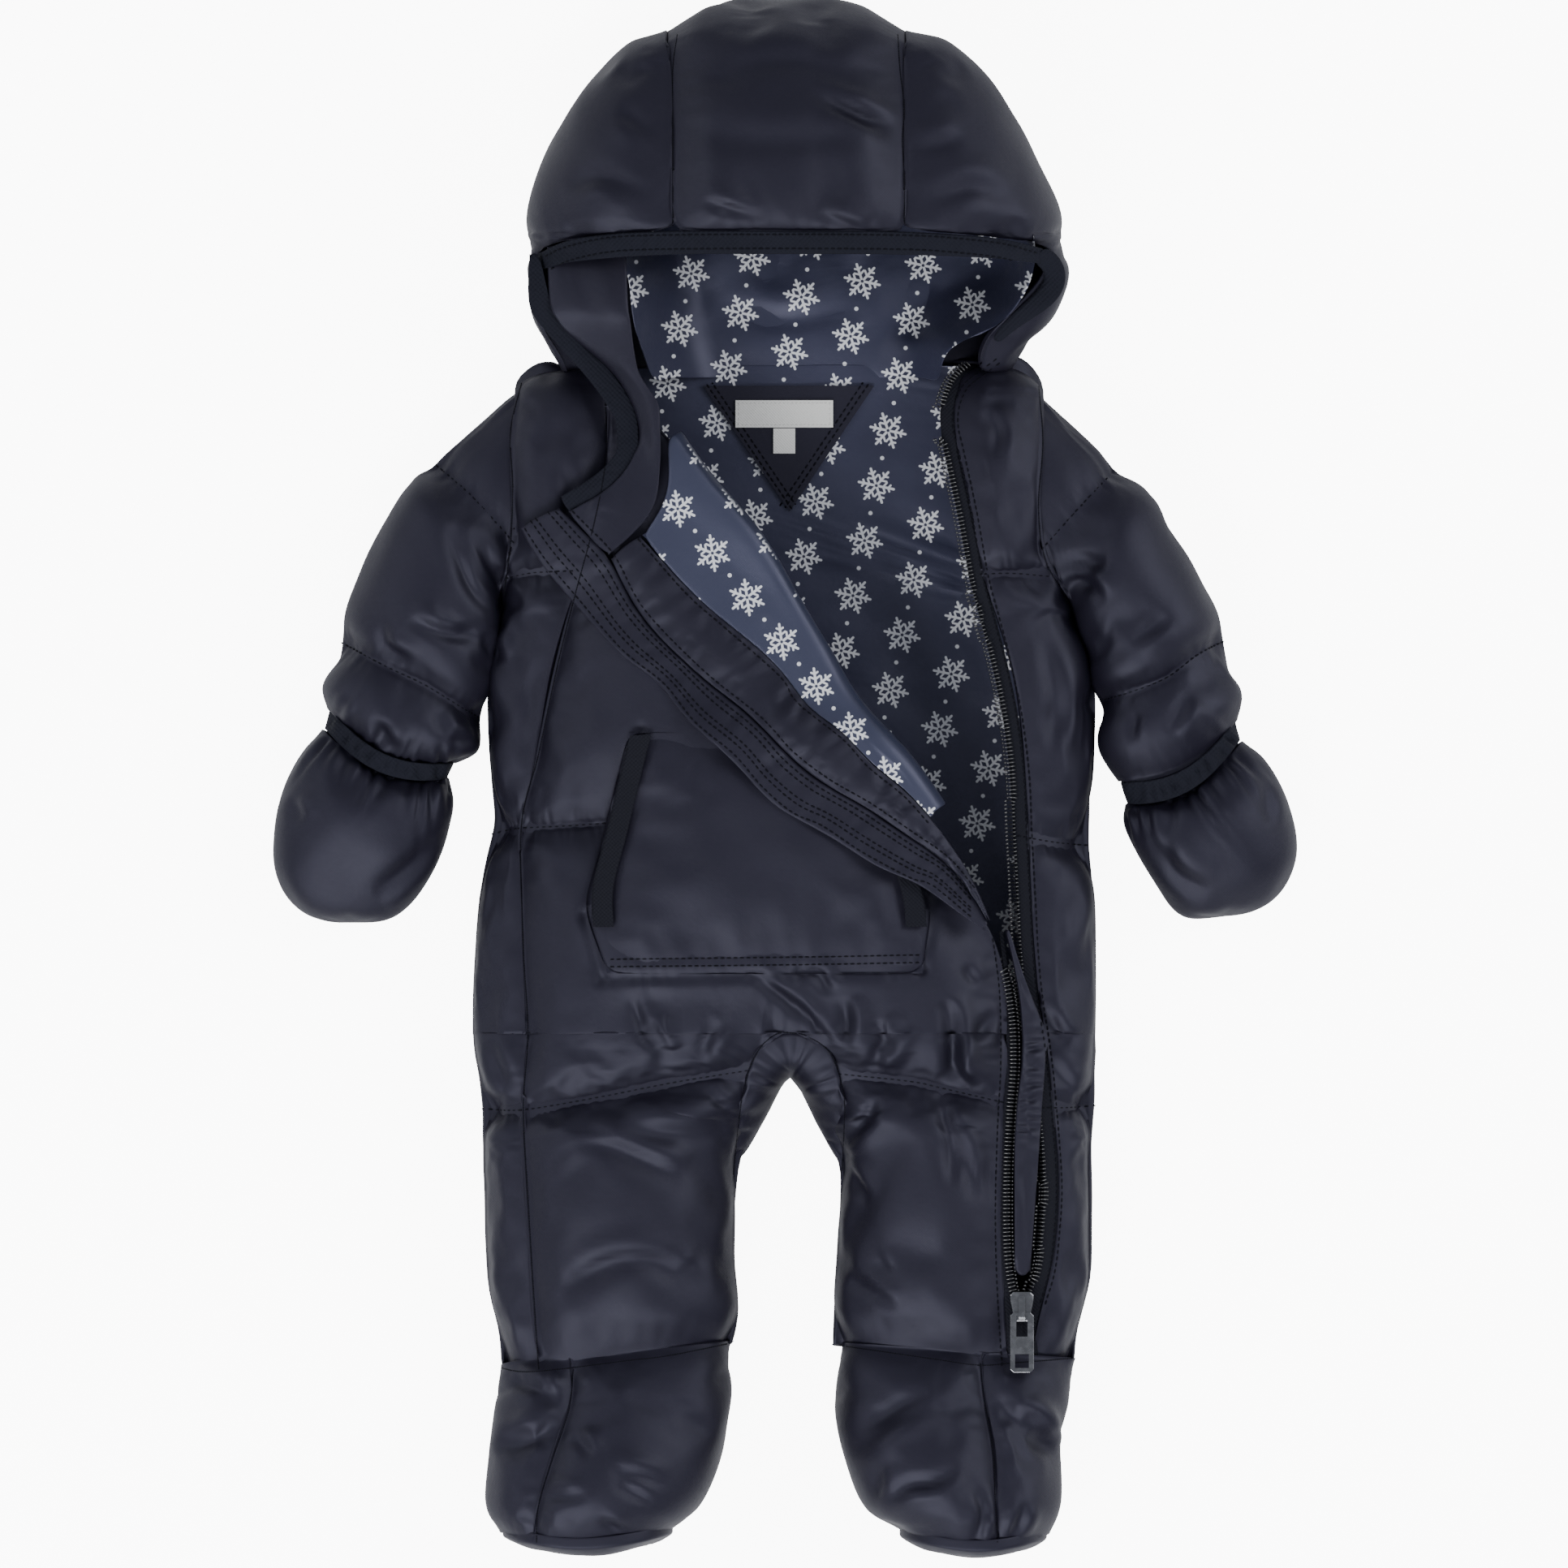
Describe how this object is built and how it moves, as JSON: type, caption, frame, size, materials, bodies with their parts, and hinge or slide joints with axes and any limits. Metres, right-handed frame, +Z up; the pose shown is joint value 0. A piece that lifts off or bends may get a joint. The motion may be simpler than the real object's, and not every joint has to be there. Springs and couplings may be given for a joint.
{
  "type": "baby snowsuit",
  "caption": "Padded hooded baby snowsuit with mittens and booties, laid on its back, front zip half open with one side folded out.",
  "frame": {"origin": "middle of the laid-out suit's outline, on the surface it lies on", "axes": "+X to the right of someone looking down on the front, +Y towards the hood, +Z up, out of the surface"},
  "size_m": [0.4704, 0.7226, 0.0889],
  "materials": {
    "back_body": "satin woven polyester shell",
    "back_leg_left": "satin woven polyester shell",
    "back_leg_right": "satin woven polyester shell",
    "back_yoke": "satin woven polyester shell",
    "body_lining": "smooth printed lining",
    "boot_left_inner": "satin woven polyester shell",
    "boot_left_outer": "satin woven polyester shell",
    "boot_right_inner": "satin woven polyester shell",
    "boot_right_outer": "satin woven polyester shell",
    "brim_binding": "matte elastic or woven tape",
    "cheek_binding": "matte elastic or woven tape",
    "crotch_gusset": "satin woven polyester shell",
    "cuff_binding_left": "matte elastic or woven tape",
    "cuff_binding_right": "matte elastic or woven tape",
    "flap_facing": "satin woven polyester shell",
    "flap_lining": "smooth printed lining",
    "front_left": "satin woven polyester shell",
    "front_left_leg": "satin woven polyester shell",
    "front_leg_left": "satin woven polyester shell",
    "front_leg_right": "satin woven polyester shell",
    "front_main": "satin woven polyester shell",
    "hood_centre": "satin woven polyester shell",
    "hood_facing": "satin woven polyester shell",
    "hood_lining": "smooth printed lining",
    "hood_side_left": "satin woven polyester shell",
    "hood_side_right": "satin woven polyester shell",
    "mitten_left": "satin woven polyester shell",
    "mitten_right": "satin woven polyester shell",
    "neck_label": "bare off-white woven tape",
    "pocket": "satin woven polyester shell",
    "pocket_tape_left": "matte elastic or woven tape",
    "pocket_tape_right": "matte elastic or woven tape",
    "pull_tab": "dark nickel, polished",
    "side_front_leg_right": "satin woven polyester shell",
    "side_front_right": "satin woven polyester shell",
    "size_tag": "bare off-white woven tape",
    "sleeve_left": "satin woven polyester shell",
    "sleeve_right": "satin woven polyester shell",
    "sole_left": "satin woven polyester shell",
    "sole_right": "satin woven polyester shell",
    "zip_guard": "satin woven polyester shell",
    "zip_guard_lower": "matte elastic or woven tape",
    "zip_slider": "dark nickel, polished",
    "zip_tape_left": "matte elastic or woven tape",
    "zip_tape_right": "matte elastic or woven tape"
  },
  "bodies": {
    "suit": {"back_body": "back_body", "back_leg_left": "back_leg_left", "back_leg_right": "back_leg_right", "back_yoke": "back_yoke", "body_lining": "body_lining", "boot_left_inner": "boot_left_inner", "boot_left_outer": "boot_left_outer", "boot_right_inner": "boot_right_inner", "boot_right_outer": "boot_right_outer", "brim_binding": "brim_binding", "cheek_binding": "cheek_binding", "crotch_gusset": "crotch_gusset", "cuff_binding_left": "cuff_binding_left", "cuff_binding_right": "cuff_binding_right", "flap_facing": "flap_facing", "flap_lining": "flap_lining", "front_left": "front_left", "front_left_leg": "front_left_leg", "front_leg_left": "front_leg_left", "front_leg_right": "front_leg_right", "front_main": "front_main", "hood_centre": "hood_centre", "hood_facing": "hood_facing", "hood_lining": "hood_lining", "hood_side_left": "hood_side_left", "hood_side_right": "hood_side_right", "mitten_left": "mitten_left", "mitten_right": "mitten_right", "neck_label": "neck_label", "pocket": "pocket", "pocket_tape_left": "pocket_tape_left", "pocket_tape_right": "pocket_tape_right", "side_front_leg_right": "side_front_leg_right", "side_front_right": "side_front_right", "size_tag": "size_tag", "sleeve_left": "sleeve_left", "sleeve_right": "sleeve_right", "sole_left": "sole_left", "sole_right": "sole_right", "zip_guard": "zip_guard", "zip_guard_lower": "zip_guard_lower", "zip_slider": "zip_slider", "zip_tape_left": "zip_tape_left", "zip_tape_right": "zip_tape_right"},
    "tab": {"pull_tab": "pull_tab"}
  },
  "joints": [
    {"name": "pull_tab_hinge", "type": "hinge", "parent": "suit", "child": "tab", "pos_m": [0.10973, -0.2456, 0.05215], "axis": [-1, 0, 0], "range_deg": [0, 150]}
  ]
}
